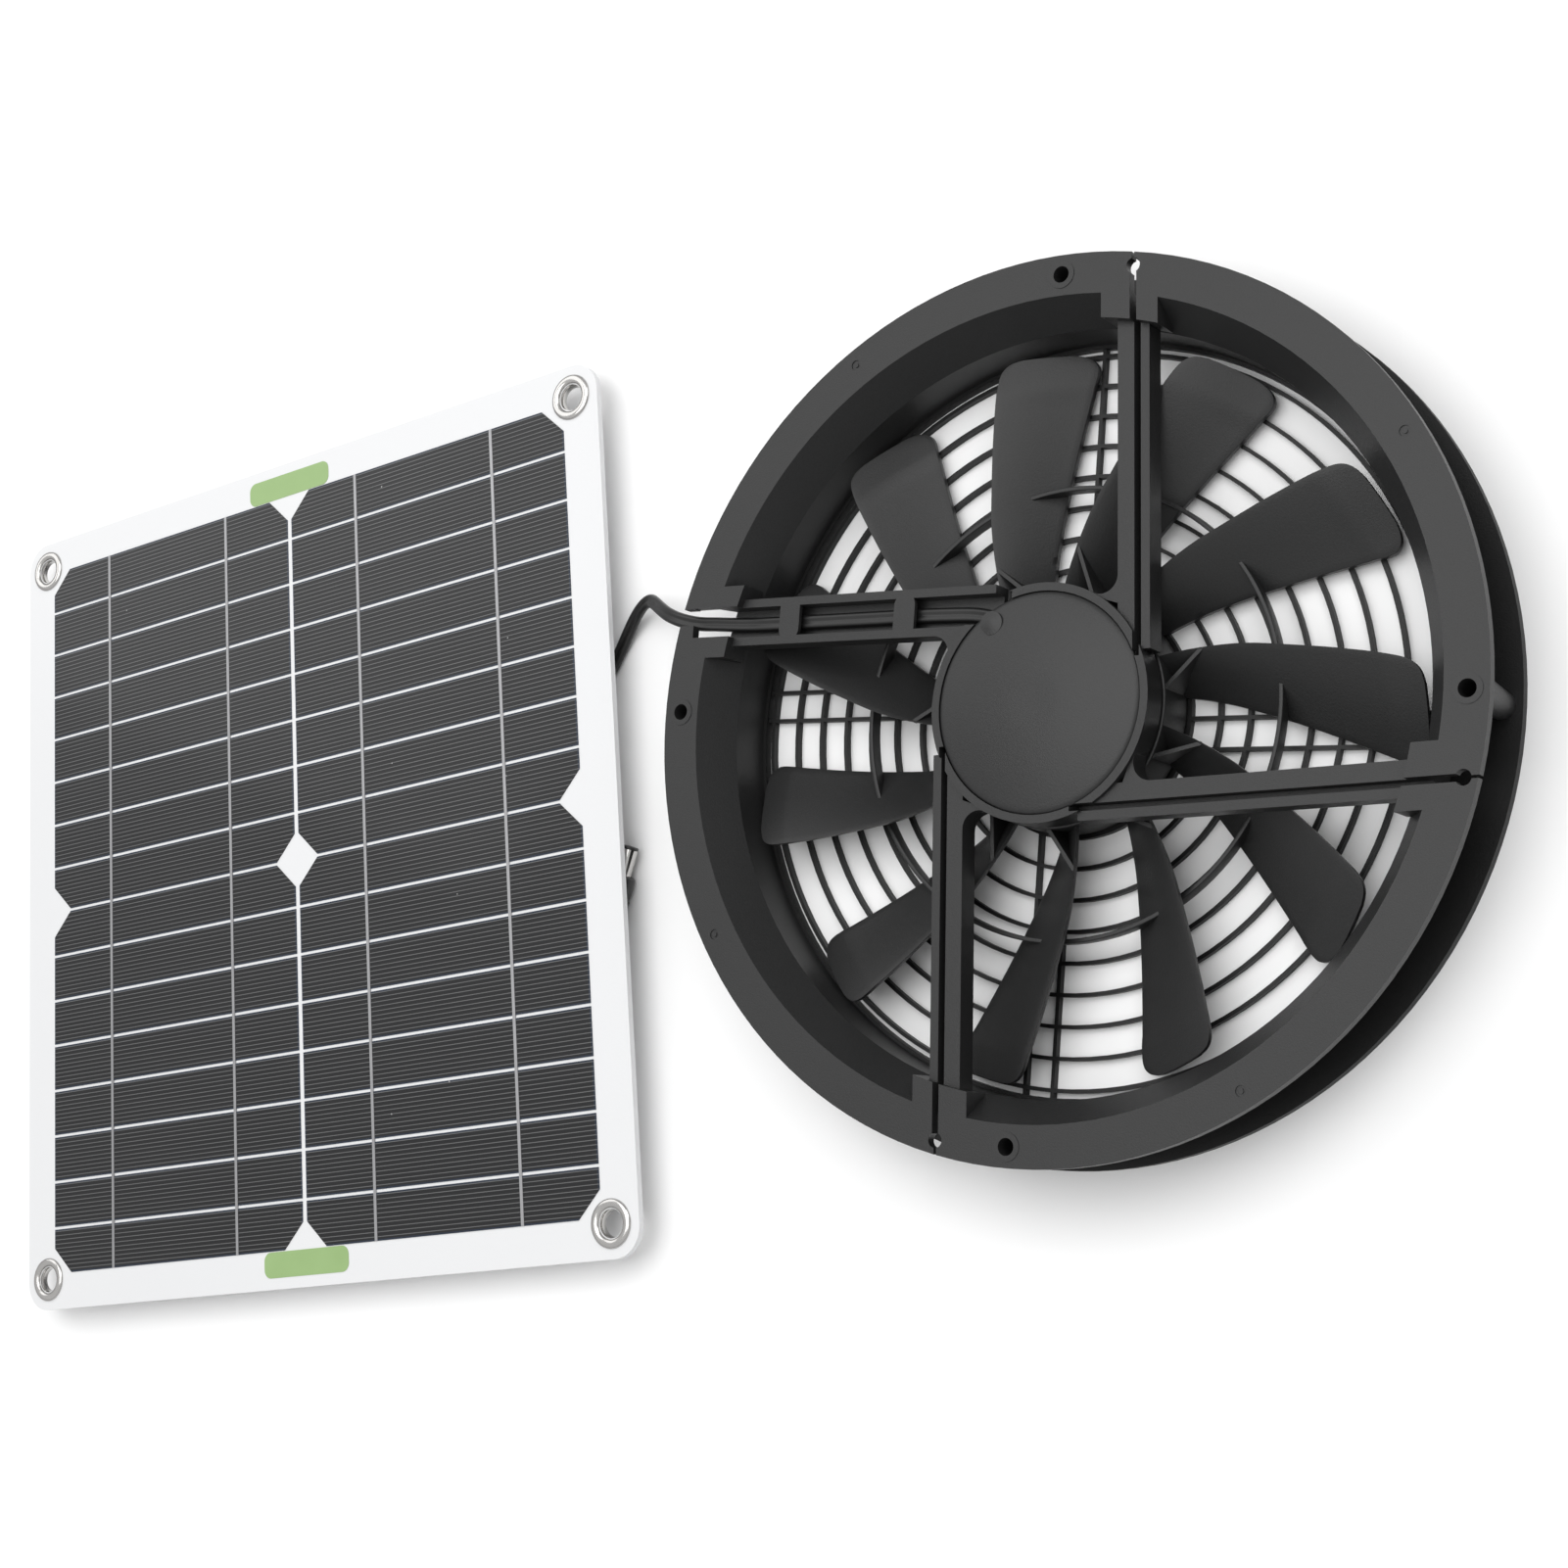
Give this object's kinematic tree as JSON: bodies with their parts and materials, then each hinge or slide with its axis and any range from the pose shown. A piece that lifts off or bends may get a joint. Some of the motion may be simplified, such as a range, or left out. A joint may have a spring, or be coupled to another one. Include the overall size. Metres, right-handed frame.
{
  "type": "solar attic fan",
  "caption": "Round ventilation fan with a flat solar panel: rear ring with hub and struts, bladed impeller, front guard, motor, and a flat lead with a barrel plug.",
  "frame": {"origin": "on the fan's axis, on the guard's front face, which is the surface that the fan and the panel lie on", "axes": "+Z along the fan's axis, from the guard towards the motor cap; +X away from the solar panel; +Y towards the fixing hole beside the top strut"},
  "size_m": [0.5839, 0.3367, 0.0302],
  "materials": {
    "dark_plastic": "fine moulded texture",
    "brass": "turned",
    "steel": "bright",
    "plated_metal": "nickel plated",
    "tinned_copper": "soft tin",
    "electrical_steel": "stacked laminations",
    "insulator": "moulded",
    "enamelled_copper": "enamelled wire",
    "board": "solder mask",
    "component_black": "moulded epoxy",
    "component_case": "bright can",
    "magnet": "bonded ferrite",
    "cord_sheath": "smooth vinyl",
    "plug_moulding": "satin vinyl",
    "panel_laminate": "clear film over a white back sheet",
    "solar_cell": "dark cell under a clear film",
    "label_film": "printed film",
    "box_plastic": "moulded"
  },
  "bodies": {
    "housing": {"rear_frame": "dark_plastic", "front_guard": "dark_plastic", "motor_cap": "dark_plastic", "bearing_tube": "brass", "front_bearing": "steel", "rear_bearing": "steel", "stator_core": "electrical_steel", "stator_insulator": "insulator", "stator_coils": "enamelled_copper", "phase_pins": "brass", "driver_board": "board", "board_screws": "steel", "driver_chip": "component_black", "hall_sensor": "component_black", "filter_capacitor": "component_case", "reverse_diode": "component_black", "strut_lead": "cord_sheath", "free_lead": "cord_sheath", "lead_coil": "cord_sheath", "plug_lead": "cord_sheath", "plug_body": "plug_moulding", "plug_barrel": "plated_metal", "plug_insulator": "plug_moulding", "panel_sheet": "panel_laminate", "cell_strips": "solar_cell", "cell_ribbons": "tinned_copper", "end_labels": "label_film", "eyelets": "plated_metal", "eyelet_washers": "plated_metal", "junction_box": "box_plastic", "junction_lid": "box_plastic", "lid_screws": "steel", "terminal_strips": "brass", "bypass_diode": "component_black", "panel_jack": "component_black", "jack_pin": "plated_metal"},
    "rotor": {"impeller": "dark_plastic", "rotor_yoke": "steel", "magnet_ring": "magnet", "shaft": "steel", "shaft_bush": "brass", "spring_washer": "steel", "retaining_ring": "steel"}
  },
  "joints": [
    {"name": "rotor_spin", "type": "hinge", "parent": "housing", "child": "rotor", "pos_m": [0, 0, 0.012], "axis": [0, 0, 1], "continuous": true}
  ]
}
